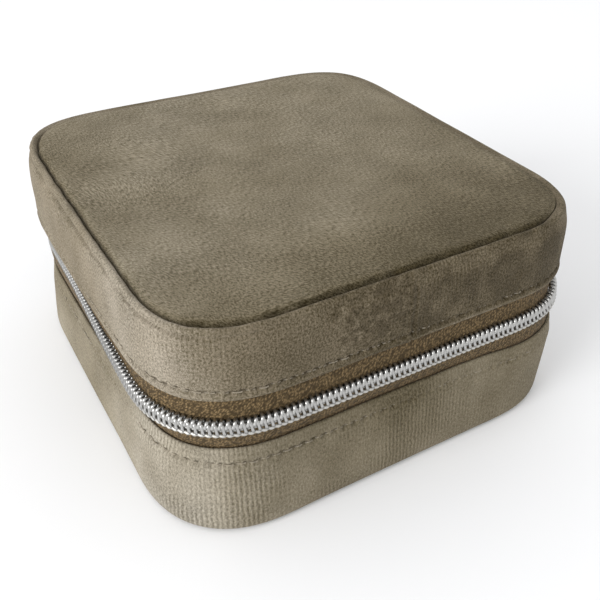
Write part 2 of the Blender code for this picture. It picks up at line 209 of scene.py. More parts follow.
def cloud(points, size, seed, octaves=2):
    """Smooth noise between about -1 and 1 at points (..., 3).

    Size is its grain in millimetres, and each use has a seed of its own.
    """
    table = np.random.RandomState(seed).rand(32, 32, 32) * 2 - 1
    total = np.zeros(points.shape[:-1])
    strength = 1.0
    for octave in range(octaves):
        place = points / size * 2 ** octave + 7.3 * octave + 11.0
        cell = np.floor(place).astype(int)
        part = place - cell
        part = part * part * (3 - 2 * part)
        value = 0
        for number in range(8):
            pick = np.array([number & 1, number >> 1 & 1, number >> 2 & 1])
            weight = np.prod(np.where(pick, part, 1 - part), axis=-1)
            index = (cell + pick) % 32
            value = value + weight * table[index[..., 0], index[..., 1], index[..., 2]]
        total = total + value * strength
        strength *= 0.5
    return total


def flat_cloud(points, size, seed, octaves=2):
    """Noise that is the same at every height."""
    return cloud(points * [1, 1, 0], size, seed, octaves)


def catmull_rom(before, start, end, after, t):
    """The point at t, from 0 to 1, of a smooth curve from start to end."""
    bend = 2 * before - 5 * start + 4 * end - after
    twist = 3 * start - before - 3 * end + after
    return 0.5 * (2 * start + (end - before) * t + bend * t ** 2 + twist * t ** 3)


def run_along(points):
    """The distance from the first point to each point along a line."""
    return np.concatenate([[0], np.cumsum(np.linalg.norm(np.diff(points, axis=0), axis=1))])


# ---- outlines and routes round the case

def corner(inset, radius, first=0.0, last=90.0):
    """The back right corner of the outline, as a quarter of a superellipse."""
    turn = np.radians(np.linspace(first, last, CORNER_STEPS + 1))
    small = max(radius - inset, 2.0)
    across = unit(np.abs(np.cos(turn))) ** (2 / CORNER_EXPONENT)
    along = unit(np.abs(np.sin(turn))) ** (2 / CORNER_EXPONENT)
    x = HALF_WIDTH - inset - small * (1 - across)
    y = HALF_DEPTH - inset - small * (1 - along)
    return np.stack([x, y], 1)


def closed_outline(inset, radius=CORNER_RADIUS):
    """Clockwise from the middle of the back, so that the seam where it closes is behind."""
    there = corner(inset, radius, 90, 0)
    back = there[::-1]
    middle = np.array([[0.0, HALF_DEPTH - inset]])
    return np.concatenate([middle, there, back * [1, -1], there * [-1, -1], back * [-1, 1]])


def zip_outline(inset, start, last):
    """From start, down the right wall, along the front and up the left wall to the back corner."""
    right = corner(inset, CORNER_RADIUS) * [1, -1]
    left = corner(inset, CORNER_RADIUS, 90, 0) * [-1, -1]
    back = corner(inset, CORNER_RADIUS, 0, last) * [-1, 1]
    return np.concatenate([start, right, left, back])


def left_of(way):
    """Unit vectors square to directions (..., 2), on their left."""
    way = way / np.maximum(np.linalg.norm(way, axis=-1, keepdims=True), 1e-9)
    return np.stack([-way[..., 1], way[..., 0]], -1)


class Route:
    """A line round the case, with points at even spacing and the outward normal at each."""

    def __init__(self, points, closed, spacing):
        if closed:
            points = np.concatenate([points, points[:1]])
        apart = np.linalg.norm(np.diff(points, axis=0), axis=1) > 1e-6
        self._points = points[np.concatenate([[True], apart])]
        self._run = run_along(self._points)
        self.length = self._run[-1]
        self.closed = closed
        count = max(int(round(self.length / spacing)), 2)
        self.s = np.arange(count + (not closed)) * self.length / count
        self.p = self.at(self.s)
        self.n = left_of(self.at(self.s + spacing / 2) - self.at(self.s - spacing / 2))

    def at(self, s):
        if self.closed:
            s = np.mod(s, self.length)
        inside = np.clip(s, 0, self.length)
        return np.stack([np.interp(inside, self._run, self._points[:, axis]) for axis in (0, 1)], 1)

    def normal_at(self, s):
        """The outward normal at any place along the route."""
        return left_of(self.at(s + 0.2) - self.at(s - 0.2))

    def corner_weight(self):
        """0 on the straight walls and 1 at the middle of each corner."""
        return (2 * np.abs(self.n[:, 0] * self.n[:, 1])) ** 1.5


def smooth_line(points, spacing):
    """A smooth curve through 2D points at even spacing, and the distance along it."""
    points = np.array(points, float)
    padded = np.concatenate([[2 * points[0] - points[1]], points, [2 * points[-1] - points[-2]]])
    t = np.linspace(0, 1, 12, endpoint=False)[:, None]
    pieces = [catmull_rom(*four, t) for four in zip(padded, padded[1:], padded[2:], padded[3:])]
    curve = np.concatenate(pieces + [points[-1:]])
    run = run_along(curve)
    count = max(int(round(run[-1] / spacing)), 2)
    even = np.linspace(0, run[-1], count + 1)
    return np.stack([np.interp(even, run, curve[:, axis]) for axis in (0, 1)], 1), even


def denser(points):
    """A smooth curve through rows of numbers, with one more row after each."""
    before = np.concatenate([points[:1], points[:-1]])
    after = np.concatenate([points[1:], points[-1:]])
    later = np.concatenate([points[2:], points[-1:], points[-1:]])
    halfway = catmull_rom(before, points, after, later, 0.5)
    return np.stack([points, halfway], 1).reshape(-1, points.shape[1])


# ---- mesh making

def make_object(name, mesh):
    item = bpy.data.objects.new(name, mesh)
    bpy.context.scene.collection.objects.link(item)
    return item


def mesh_object(name, verts, faces):
    mesh = bpy.data.meshes.new(name)
    mesh.from_pydata((np.asarray(verts).reshape(-1, 3) * MM).tolist(), [], faces)
    mesh.update()
    mesh.shade_smooth()
    return make_object(name, mesh)


def coordinates(mesh):
    values = np.empty(len(mesh.vertices) * 3)
    mesh.vertices.foreach_get("co", values)
    return values.reshape(-1, 3)


def grid_faces(rows, columns, wrap):
    """Quads between rows of points. With wrap, the last column meets the first one."""
    row = np.arange(rows - 1)
    column = np.arange(columns if wrap else columns - 1)
    r, c = np.meshgrid(row, column, indexing="ij")
    c2 = (c + 1) % columns
    quads = np.stack([r * columns + c, r * columns + c2, (r + 1) * columns + c2, (r + 1) * columns + c], -1)
    return quads.reshape(-1, 4)


def grid_object(name, points, u, v, tone_and_light=None, wrap=False, lap=False):
    """A sheet of quads from points (rows, columns, 3), with its cloth coordinates as UVs, in cm.

    With lap, u keeps growing over the seam of a wrapped sheet.
    """
    rows, columns = points.shape[:2]
    quads = grid_faces(rows, columns, wrap)
    item = mesh_object(name, points, quads.tolist())
    u_grid = np.broadcast_to(u, (rows, columns))
    v_grid = np.broadcast_to(v, (rows, columns))
    coords = np.stack([u_grid.ravel()[quads] / 10, v_grid.ravel()[quads] / 10], -1)
    if lap:
        seam = quads[:, 0] % columns == columns - 1
        coords[seam, 1:3, 0] = (u_grid[0, -1] + u_grid[0, 1] - u_grid[0, 0]) / 10
    layer = item.data.uv_layers.new(name="cloth")
    layer.data.foreach_set("uv", coords.reshape(-1).astype(np.float32))
    set_tone_and_light(item, np.zeros((rows, columns)) if tone_and_light is None else tone_and_light)
    return item


def set_tone_and_light(item, values):
    """The pile's brushing, with painted light and shade on the walls, top and chain, point by point: -1 is
    dark and 1 is light.
    """
    attribute = item.data.attributes.new("tone_and_light", "FLOAT", "POINT")
    attribute.data.foreach_set("value", np.asarray(values, np.float32).ravel())


def close_rings(item, rings, tidy_normals=False):
    """Fills holes in a sheet; each ring is the list of its vertex numbers."""
    shape = bmesh.new()
    shape.from_mesh(item.data)
    shape.verts.ensure_lookup_table()
    for ring in rings:
        shape.faces.new([shape.verts[index] for index in ring])
    if tidy_normals:
        bmesh.ops.recalc_face_normals(shape, faces=shape.faces)
    shape.to_mesh(item.data)
    shape.free()


def close_middle(item, columns):
    """Closes the hole inside the last ring of a sheet."""
    count = len(item.data.vertices)
    close_rings(item, [range(count - columns, count)])


def close_ends(item, columns):
    """Closes the first and last rings of a tube of quads."""
    count = len(item.data.vertices)
    close_rings(item, [reversed(range(columns)), range(count - columns, count)], tidy_normals=True)


def wall_points(offset, height, route):
    flat = route.p[None] + route.n[None] * offset[..., None]
    return np.concatenate([flat, height[..., None]], -1)


def settled(points, normals):
    """Points of the outer skin moved as the soft case really stands.

    The left and front walls bow out. The front right corner is fuller round the zip, and the
    front left corner at its foot. The zip line sags a little along the left wall, and the top
    stands a little higher at the back left corner.
    """
    x, y, z = parts(points)
    left = unit(-normals[..., 0]) ** 2 * unit(1 - (y / HALF_DEPTH) ** 2)
    front = unit(-normals[..., 1]) ** 2 * unit(1 - (x / HALF_WIDTH) ** 2)
    bow = (LEFT_BOW * left + FRONT_BOW * front) * np.interp(z, [0, 6, 44, LID_TOP], [0.5, 1, 1, 0.5])
    fullness = np.interp(z, [0, 3, 18, 22, 27, 37, 48], [0.12, 0.25, 1.1, 1.25, 0.3, 0.3, 0])
    swell = CORNER_SWELL * near(points, 43, -45, 20) * fullness
    foot = FOOT_SWELL * near(points, -43, -45, 20) * np.interp(z, [0, 4, 16, 24], [1, 0.9, 0.3, 0])
    out = (bow + swell + foot)[..., None] * normals
    sag = ZIP_SAG * ease(y, -60, 40) * ease(-x, 8, 40)
    drop = sag * np.interp(z, [0, 8, 19, 38, 47, LID_TOP - 1], [0, 0.3, 1, 1, 0.2, 0])
    lift = BACK_LIFT * near(points, -32, 48, 34) * ease(z, 40, 50)
    return np.stack([x + out[..., 0], y + out[..., 1], z - drop + lift], -1)


def from_level(level, pairs):
    """Part of a profile: offsets outward, and heights from one level."""
    return [(offset, level + rise) for offset, rise in pairs]


def skin(name, route, profile, spacing, shape, tone_and_light=None, lining=False):
    """A sheet swept round a route. The profile is (offset outward, height), and shape moves its points.

    It settles as the outer skin does, and a lining does so only where it meets that skin.
    """
    line, run = smooth_line(profile, spacing)
    offset = np.repeat(line[:, :1], len(route.s), 1)
    height = np.repeat(line[:, 1:], len(route.s), 1)
    around = np.repeat(route.s[None], len(line), 0)
    offset, height = shape(wall_points(offset, height, route), offset, height, around, route)
    points = wall_points(offset, height, route)
    shade = tone_and_light(points) if tone_and_light else None
    share = ease(offset, -4.2, -1.5)[..., None] if lining else 1
    points = points * (1 - share) + settled(points, route.n[None]) * share
    return grid_object(name, points, around, run[:, None], shade, wrap=route.closed, lap=route.closed)


def tube_parts(path, radius, sides, start=0):
    """The points and faces of a closed round wire along points (n, 3); start is its first number."""
    count = len(path)
    radius = np.broadcast_to(radius, (count,))
    forward = np.gradient(path, axis=0)
    forward /= np.linalg.norm(forward, axis=1)[:, None]
    side = np.cross(forward, [0.0, 0.0, 1.0])
    weak = np.linalg.norm(side, axis=1) < 0.2
    side[weak] = np.cross(forward[weak], [1.0, 0.3, 0.0])
    for index in range(1, count):
        if np.dot(side[index], side[index - 1]) < 0:
            side[index] *= -1
    side /= np.linalg.norm(side, axis=1)[:, None]
    lift = np.cross(side, forward)
    turn = np.arange(sides) * 2 * math.pi / sides
    ring = np.cos(turn)[None, :, None] * side[:, None] + np.sin(turn)[None, :, None] * lift[:, None]
    verts = (path[:, None] + ring * radius[:, None, None]).reshape(-1, 3)
    faces = (grid_faces(count, sides, True) + start).tolist()
    faces.append([start + index for index in range(sides)])
    faces.append([start + (count - 1) * sides + index for index in reversed(range(sides))])
    return verts, faces


def tube(name, path, radius, sides):
    return mesh_object(name, *tube_parts(path, radius, sides))


def many_tubes(name, paths, radius, sides):
    """Many round wires in one object."""
    verts, faces, start = [], [], 0
    for path in paths:
        some, quads = tube_parts(path, radius, sides, start)
        verts.append(some)
        faces += quads
        start += len(some)
    return mesh_object(name, np.concatenate(verts), faces)


def finish(item, material, body=None, replaces=()):
    """Give a piece its material, its body, and what it stands for."""
    item.data.materials.clear()
    item.data.materials.append(material)
    if body:
        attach(item, body)
    if replaces:
        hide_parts(*replaces)


# ---- materials

class Nodes:
    """A short way to build a node material. Most methods add a node and give its output."""

    def __init__(self, name):
        self.material = bpy.data.materials.new(name)
        self.material.use_nodes = True
        self.tree = self.material.node_tree

    def put(self, node, inputs):
        """Sets or links inputs, given by number or by name, with _ for a space."""
        for key, value in inputs.items():
            socket = node.inputs[key.replace("_", " ") if isinstance(key, str) else key]
            if isinstance(value, bpy.types.NodeSocket):
                self.tree.links.new(value, socket)
            else:
                socket.default_value = value

    def add(self, kind, output, settings=None, **inputs):
        node = self.tree.nodes.new("ShaderNode" + kind)
        for key, value in (settings or {}).items():
            setattr(node, key, value)
        self.put(node, inputs)
        return node.outputs[output]

    def math(self, operation, first, second):
        node = self.tree.nodes.new("ShaderNodeMath")
        node.operation = operation
        self.put(node, {0: first, 1: second})
        return node.outputs[0]

    def plus(self, first, second):
        return self.math("ADD", first, second)

    def minus(self, first, second):
        return self.math("SUBTRACT", first, second)

    def times(self, first, second):
        return self.math("MULTIPLY", first, second)

    def swing(self, value, reach):
        """A value from 0 to 1 made to swing about 0, over this reach in all."""
        return self.times(self.minus(value, 0.5), reach)

    def clamp(self, value, low=0.0, high=1.0):
        return self.add("Clamp", "Result", Value=value, Min=low, Max=high)

    def place(self):
        return self.add("TexCoord", "Object")

    def cloth(self):
        """The sheet's own coordinates, in centimetres along the cloth."""
        return self.add("UVMap", "UV", {"uv_map": "cloth"})

    def tone_and_light(self):
        return self.add("Attribute", "Fac", {"attribute_name": "tone_and_light"})

    def noise(self, vector, scale, detail=2.0, roughness=0.5):
        return self.add("TexNoise", "Fac", Vector=vector, Scale=scale, Detail=detail, Roughness=roughness)

    def wave(self, vector, scale, distortion, direction="X", detail=2.0, detail_scale=1.0):
        return self.add("TexWave", "Fac", {"bands_direction": direction}, Vector=vector, Scale=scale,
                        Distortion=distortion, Detail=detail, Detail_Scale=detail_scale)

    def stretch(self, vector, scale, turn=0.0):
        """Scales a vector, after a turn about Z where there is one."""
        if turn:
            vector = self.add("Mapping", "Vector", Vector=vector, Rotation=(0, 0, turn))
        return self.add("Mapping", "Vector", Vector=vector, Scale=scale)

    def mix(self, factor, dark, light):
        node = self.tree.nodes.new("ShaderNodeMix")
        node.data_type = "RGBA"
        self.put(node, {"Factor": factor, 6: (*dark, 1), 7: (*light, 1)})
        return node.outputs[2]

    def shaded(self, colour, value, saturation=1.0):
        return self.add("HueSaturation", "Color", Color=colour, Value=value, Saturation=saturation)

    def bump(self, height, distance, strength):
        return self.add("Bump", "Normal", Height=height, Distance=distance, Strength=strength)

    def surface(self, **inputs):
        """Sets the shader's inputs, and gives the finished material."""
        self.put(self.tree.nodes["Principled BSDF"], inputs)
        return self.material


def darker(colour, share):
    return tuple(channel * share for channel in colour)


def velvet(name, dark, light, fleck, turn=0.0, ribs=0.0, contrast=1.0):
    """Short-pile velvet: streaks along the pile, cloudy brushing, fine ribs and a soft sheen.

    Fleck is how fine the pile's grain is in the cloth's two directions, per cm. The mesh's attribute,
    the pile's brushing together with painted light and shade, makes the pile lighter and paler, or darker,
    richer and stronger in its grain.
    """
    n = Nodes(name)
    place = n.place()
    cloth = n.cloth()
    streaks = n.noise(n.stretch(cloth, (fleck[0], fleck[1], fleck[0]), turn), 1.0, 4.0, 0.7)
    specks = n.noise(n.stretch(cloth, (fleck[0] * 3, fleck[1] * 1.7, fleck[0] * 2), turn), 1.0, 2.0, 0.7)
    brushed = n.noise(place, 80.0, 4.0, 0.6)
    tone_and_light = n.tone_and_light()
    fine = n.plus(n.swing(streaks, 3.2 * contrast), n.swing(specks, 1.6 * contrast))
    deeper = n.minus(1.0, n.math("MINIMUM", n.times(tone_and_light, 0.7), 0.0))
    fine = n.times(fine, deeper)
    level = n.plus(fine, n.plus(n.swing(brushed, 0.8), 0.48))
    height = n.plus(streaks, n.times(specks, 0.6))
    if ribs:
        wave = n.wave(cloth, 3.3, 3.0, detail=3.0, detail_scale=1.2)
        patchy = n.add("MapRange", "Result", Value=n.noise(place, 60.0), From_Min=0.4, From_Max=0.62)
        ridge = n.times(n.minus(wave, 0.5), n.times(patchy, ribs))
        level = n.plus(level, ridge)
        height = n.plus(height, n.times(ridge, 1.5))
    level = n.clamp(level)
    normal = n.bump(height, 0.0004, 0.6)
    # painted light and shade from the mesh's attribute, with the pile's brushing, lighten or darken the
    # colour here
    lit = n.clamp(n.plus(n.times(tone_and_light, 0.53), 1.0), 0.35, 1.7)
    rich = n.minus(1.03, n.times(tone_and_light, 0.26))
    colour = n.shaded(n.mix(level, dark, light), lit, rich)
    return n.surface(Base_Color=colour, Roughness=0.95, Normal=normal, Specular_IOR_Level=0.1,
                     Sheen_Weight=0.14, Sheen_Roughness=0.5, Sheen_Tint=(*VELVET_SHEEN, 1))


def woven_tape(name):
    """Woven zip tape: a slanting grain of small cells over fine cords across it."""
    n = Nodes(name)
    cloth = n.cloth()
    slanted = n.stretch(cloth, (27, 15, 1), 0.7)
    cell = n.add("TexVoronoi", "Distance", Vector=slanted, Scale=1.0, Randomness=0.75)
    grain = n.minus(0.95, n.times(cell, 1.25))
    ribs = n.wave(cloth, 4.2, 1.2)
    fuzz = n.noise(n.stretch(cloth, (50, 30, 1)), 1.0, 3.0, 0.7)
    weave = n.times(grain, n.plus(n.times(ribs, 0.35), 0.65))
    level = n.clamp(n.plus(n.minus(weave, 0.1), n.minus(fuzz, 0.5)))
    normal = n.bump(n.plus(weave, n.times(fuzz, 0.5)), 0.00022, 0.8)
    return n.surface(Base_Color=n.mix(level, TAPE_DARK, TAPE_LIGHT), Roughness=0.7, Normal=normal,
                     Specular_IOR_Level=0.15, Sheen_Weight=0.06, Sheen_Roughness=0.4)


def metal(name, colour, roughness, scratch=0.06):
    """Bright metal with faint stains and fine scratches, with painted shade where the mesh's attribute gives
    it.
    """
    n = Nodes(name)
    place = n.place()
    brushed = n.noise(place, 1400.0, 3.0, 0.6)
    stain = n.noise(place, 160.0, 3.0, 0.6)
    rough = n.plus(n.times(stain, 0.18), roughness - 0.06)
    tone_and_light = n.tone_and_light()
    # painted shade on the chain, from the mesh's attribute
    shaded = n.shaded(n.mix(stain, darker(colour, 0.75), colour), n.plus(tone_and_light, 1.0))
    normal = n.bump(brushed, 0.00005, scratch)
    return n.surface(Base_Color=shaded, Metallic=1.0, Roughness=rough, Normal=normal)


def thread_material(name, colour):
    """Twisted thread, with painted shade between its strands."""
    n = Nodes(name)
    place = n.place()
    twist = n.wave(place, 900.0, 0.3, "DIAGONAL")
    shade = n.times(n.plus(twist, n.noise(place, 500.0)), 0.5)
    return n.surface(Base_Color=n.mix(shade, darker(colour, 0.45), colour), Roughness=0.6, Sheen_Weight=0.2,
                     Normal=n.bump(twist, 0.00006, 0.5))


def fibrous(name, dark, light, grain):
    """Board or foam: a fine mottled grain."""
    n = Nodes(name)
    fibre = n.noise(n.place(), grain, 4.0, 0.65)
    return n.surface(Base_Color=n.mix(fibre, dark, light), Roughness=0.9, Specular_IOR_Level=0.2,
                     Normal=n.bump(fibre, 0.0002, 0.7))


def satin_plastic(name, colour):
    """Moulded plastic with a satin metallic coating."""
    n = Nodes(name)
    place = n.place()
    speckle = n.noise(place, 3000.0, 2.0, 0.6)
    cloudy = n.noise(place, 90.0, 3.0, 0.5)
    rough = n.plus(n.times(cloudy, 0.12), 0.26)
    return n.surface(Base_Color=n.mix(speckle, darker(colour, 0.86), colour), Metallic=0.55, Roughness=rough,
                     Normal=n.bump(n.plus(speckle, cloudy), 0.00003, 0.3), Coat_Weight=0.3,
                     Coat_Roughness=0.15)


def mirror_material(name):
    """Silvered glass with faint smears."""
    n = Nodes(name)
    smear = n.noise(n.place(), 60.0, 4.0, 0.6)
    return n.surface(Base_Color=n.mix(smear, *MIRROR_SILVERS), Metallic=1.0, Roughness=n.times(smear, 0.03))


OUTER = velvet("velvet_sides", VELVET_DARK, WALL_LIGHT, fleck=(26, 20), ribs=0.2, contrast=0.85)
RIBBED = velvet("velvet_base", VELVET_DARK, VELVET_LIGHT, fleck=(28, 14), ribs=0.36, contrast=0.62)
TOP = velvet("velvet_top", VELVET_DARK, VELVET_LIGHT, fleck=(32, 11), turn=-0.47, contrast=1.1)
LINING = velvet("velvet_lining", LINING_DARK, LINING_LIGHT, fleck=(16, 16), contrast=0.7)
BOTTOM = velvet("velvet_bottom", VELVET_DARK, VELVET_LIGHT, fleck=(12, 24))
TAPE = woven_tape("zip_tape_weave")
COIL_METAL = metal("silver_coil", SILVER, 0.3)
COIL_CORD = metal("silver_cord", CORD_SILVER, 0.5)
ZIP_METAL = metal("polished_zip_metal", STEEL, 0.22, scratch=0.1)
CORE_CORD = thread_material("grey_core", CORE_GREY)
STITCHING = thread_material("taupe_thread", THREAD)
GREYBOARD = fibrous("greyboard", *BOARD_GREYS, 1500.0)
FOAM = fibrous("foam", *FOAM_CREAMS, 2200.0)
CHAMPAGNE = satin_plastic("mirror_frame_champagne", CHAMPAGNE_COAT)
MIRROR = mirror_material("mirror_silver")

# ---- velvet outside

WALL = Route(closed_outline(0.0), closed=True, spacing=0.36)


def puckered(points, around, line_height):
    """A sewn line pulled into the pile, deepest at each stitch and uneven along its run."""
    x, y, z = parts(points)
    pull = 0.5 + 0.5 * np.cos(2 * math.pi * around / STITCH)
    uneven = np.clip(1.0 + 0.4 * flat_cloud(points, 6.0, 56), 0.6, 1.4)
    uneven = uneven * (1 - 0.5 * ease(x, -20, 12))
    uneven = uneven * (1 - 0.6 * ease(-x, 38, 48) * ease(y, -42, -20))
    return -STITCH_DEPTH * uneven * pull ** 0.7 * bell(z - line_height, 0.38)


def corner_push(route):
    """How far the lid's corners, rounder than the base's, draw its cloth outwards."""
    return ROUND_GAIN * (CORNER_RADIUS - LID_CORNER_RADIUS) * route.corner_weight()[None]


def lid_wall_shape(points, offset, height, around, route):
    """Soft padding, creases beside the seams, a wavy hem and the join at the middle of the front."""
    body = unit((height - LID_HEM) / 3) * unit((LID_TOP - 0.8 - height) / 2)
    outside = unit((offset + 0.9) / 0.6)
    rounder = unit((height - LID_HEM) / (LID_TOP - LID_HEM))
    offset = offset + corner_push(route) * rounder
    offset = offset + 0.26 * body * cloud(points * [1, 1, 0.7], 17.0, 3)
    offset = offset + 0.07 * body * cloud(points * [1, 1, 0.35], 3.2, 4)
    crease = 0.13 * cloud(points * [1, 1, 0.3], 2.6, 5) * bell(height - LID_STITCH_Z - 0.4, 1.5)
    offset = offset + outside * (puckered(points, around, LID_STITCH_Z) + crease)
    seam = points[..., 0] + 0.12 * cloud(points, 4.0, 6)
    join = -0.34 * bell(seam, 0.28) + 0.13 * bell(seam + 0.75, 0.5) + 0.06 * bell(seam - 0.7, 0.5)
    front = (route.n[:, 1] < -0.9)[None]
    offset = offset + front * outside * join
    waves = 0.16 * flat_cloud(points, 9.0, 7) * unit(1 - (height - LID_HEM) / 2.2)
    return offset, height + waves


def side_tone_and_light(points):
    """The walls' brushing, with painted light on the left wall, painted shade at the front and a painted
    highlight at the front left corner.
    """
    x, y, _ = parts(points)
    sway = cloud(points, 22.0, 8) * 0.3 + cloud(points * [1, 1, 0.6], 6.0, 9) * 0.2
    painted_left_light = unit((-x - 20) / 28) * unit((y + 60) / 22)
    painted_front_shade = unit((-y - 30) / 20) * unit((x + 45) / 25)
    # painted light on the left wall, painted shade at the front, painted highlight at the front left corner
    return sway + 0.3 * painted_left_light - 0.4 * painted_front_shade + 0.75 * near(points, -49, -38, 17)


def rubbed_patch(points):
    """The rubbed patch left of the join at the front, rough at its left edge."""
    x, y, z = parts(points)
    start = unit((x - PATCH_X[0] + cloud(points, 3.0, 10) * 1.3) / 1.5)
    within = start * unit((PATCH_X[1] - x) / 0.4)
    front = y < -HALF_DEPTH + 4
    return within * front * bell(z - 43.5, 7.0) * (0.8 * cloud(points, 0.9, 11) - 0.1)


def lid_tone_and_light(points):
    """The lid's tone: painted shade along the front, deepest to the right, and at the top of the wall to the
    right; painted light and shade by the front left corner; the rubbed patch; to the right, mottling and a
    lighter hem and rim.
    """
    x, y, z = parts(points)
    # painted shade on the front beside the left corner, painted light on the left wall
    tone_and_light = side_tone_and_light(points) - 0.36 * near(points, -37, -49, 14) + 0.16 * near(points, -51, -28, 10)
    # painted shade along the front, deeper towards the right
    tone_and_light = tone_and_light - 0.6 * np.clip(-y - 34, 0, 12) / 12 * ease(x, -38, 20)
    tone_and_light = tone_and_light + rubbed_patch(points)
    rightward = ease(x, -6, 6) * ease(-y, 20, 40)
    mottled = 0.32 * cloud(points * [1, 1, 0.8], 2.4, 59) + 0.2 * cloud(points, 8.0, 60)
    hem = bell(z - LID_HEM - 0.45, 0.6)
    rim = ease(z, LID_TOP - 4.2, LID_TOP - 2.2)
    tone_and_light = tone_and_light + (mottled + 0.9 * hem + 0.35 * rim) * rightward
    # painted shade along the top of the wall, towards the right
    return tone_and_light - 0.3 * ease(z, LID_TOP - 1.5, LID_TOP - 0.4) * ease(x, 10, 50)


def base_tone_and_light(points):
    # The walls' tone, lighter than the lid's and lighter towards the foot: partly the pile's other lie and
    # partly painted bounce light from the floor.
    return side_tone_and_light(points) + 0.25 + 0.15 * np.clip((14 - points[..., 2]) / 12, -0.3, 1)


def seam_pinch(points):
    """How the top seam's stitches pull the cloth beside them, from -1 to 1."""
    return 0.55 * flat_cloud(points, 1.5, 26, 1) + 0.45 * flat_cloud(points, 3.4, 12, 1)


def seam_strength(normals):
    """The seam is drawn in hard on the left and front, and lies flatter at the back and right."""
    right = ease(normals[..., 0], 0.08, 0.5)
    back = ease(normals[..., 1], 0.3, 0.9)
    return 1 - 0.96 * np.maximum(right, back)


def seam_shade(points, normals, distance):
    """Painted shade down in the groove of the top seam, darkest at its stitches along the front."""
    front = 0.55 + 0.45 * ease(-normals[..., 1], 0.2, 0.9)
    dashes = np.clip(0.75 + 0.6 * flat_cloud(points, 1.6, 58, 1), 0.2, 1.3)
    return -1.15 * front * dashes * bell(distance, 0.36) * seam_strength(normals)


def lid_side_shape(points, offset, height, around, route):
    """The lid's wall below, and above it the lip outside the top seam with its crease."""
    lower_offset, lower_height = lid_wall_shape(points, offset, height, around, route)
    normals = route.n[None]
    strength = seam_strength(normals)
    pinch = seam_pinch(points) * strength
    rise = unit((height - LID_TOP + 1.8) / 1.2)
    front_drop = 0.12 * unit(-normals[..., 1]) ** 2
    lip_height = height - rise * front_drop + rise * (0.3 * pinch + 0.1 * cloud(points, 11.0, 13))
    flush = (1 - strength) * ease(-offset, 1.35, 1.9)
    tucked = LID_TOP - 0.34 - 0.2 * ease(-offset, 2.62, 2.75)
    lip_height = lip_height + flush * (tucked - lip_height)
    lip_offset = offset + corner_push(route) + 0.12 * pinch * ease(-offset, 1.2, 2.0) + 0.13 * pinch
    creased = ease(-points[..., 0] - 0.15 * points[..., 1], 34, 50)
    creased = creased * np.clip(0.75 + 0.5 * flat_cloud(points, 5.0, 57), 0.2, 1.2)
    crease = creased * bell(height - LID_TOP + 1.75 + 0.12 * pinch, 0.33) * ease(offset, -1.2, -0.6)
    lip_offset = lip_offset - 1.05 * crease
    lip = ease(height, LID_TOP - 3.2, LID_TOP - 1.8)
    return lower_offset * (1 - lip) + lip_offset * lip, lower_height * (1 - lip) + lip_height * lip


def lid_side():
    """The lid's side in one piece, from the groove of the top seam down to its turned hem."""
    lip = [(-2.75, -2.3), (-2.35, -1.7), (-2.12, -1.0), (-1.85, -0.5), (-1.45, -0.2), (-1.0, -0.28),
           (-0.62, -0.62), (-0.42, -1.1), (-0.3, -1.6), (-0.12, -2.3)]
    wall = [(0.2, -3.6), (0.4, -5.5), (0.5, -9), (0.56, -12)]
    hem = [(0.66, 1.9), (0.86, 0.9), (0.7, 0.2), (0.25, 0), (-0.4, 0.15), (-1.0, 0.9), (-1.15, 2.2)]
    profile = from_level(LID_TOP, lip + wall) + from_level(LID_HEM, hem)
    cover = skin("lid_side_velvet", WALL, profile, 0.24, lid_side_shape, lid_tone_and_light)
    finish(cover, OUTER, LID, ["lid_side_band", "lid_edge_roll"])


def base_wall_shape(points, offset, height, around, route):
    """Soft padding, creases beside the stitches and a wavy hem."""
    outside = unit((offset + 1.3) / 0.6)
    body = unit((BASE_HEM - height) / 3) * unit((height - 1.0) / 3)
    offset = offset + 0.2 * body * cloud(points * [1, 1, 0.6], 19.0, 14)
    offset = offset + 0.05 * body * cloud(points * [1, 1, 0.2], 2.6, 15)
    crease = 0.1 * cloud(points * [1, 1, 0.25], 2.4, 16) * bell(height - BASE_STITCH_Z, 1.8)
    offset = offset + outside * (puckered(points, around, BASE_STITCH_Z) + crease)
    offset = offset - 0.1 * outside * bell(height - BASE_HEM + 1.3, 0.3)
    waves = 0.17 * flat_cloud(points, 8.0, 17) * unit(1 - (BASE_HEM - height) / 2.5)
    return offset, height + waves


def base_side():
    """The base's side in one piece, from its turned hem down to its foot."""
    hem = [(-1.6, -2.2), (-1.5, -0.8), (-1.25, -0.15), (-0.9, 0), (-0.62, -0.25), (-0.45, -0.9), (-0.2, -2.2)]
    wall = [(0.1, BASE_STITCH_Z), (0.6, 14.0), (1.0, 9.5), (1.38, 5.0), (1.55, 2.8)]
    foot = [(1.45, 1.5), (1.0, 0.75), (0.2, 0.45), (-1.0, 0.4), (-2.2, 0.5)]
    profile = from_level(BASE_HEM, hem) + wall + foot
    cover = skin("base_side_velvet", WALL, profile, 0.34, base_wall_shape, base_tone_and_light)
    finish(cover, RIBBED, BASE, ["base_side_band"])


def nested_rings(insets, heights, radius, columns):
    """Shrinking outlines, one inside the other, with the outward direction and depth at each point."""
    rows = []
    ways = []
    for inset, height in zip(insets, heights):
        line = Route(closed_outline(inset, radius), True, 1.0)
        even = np.arange(columns) * line.length / columns
        rows.append(np.concatenate([line.at(even), np.full((columns, 1), height)], 1))
        ways.append(line.normal_at(even))
    outline = rows[-1]
    for share in (0.7, 0.4, 0.1):
        rows.append(outline * [share, share, 1])
        ways.append(ways[-1])
    depth = np.concatenate([insets, [insets[-1]] * 3])[:, None]
    return np.array(rows), np.array(ways), depth


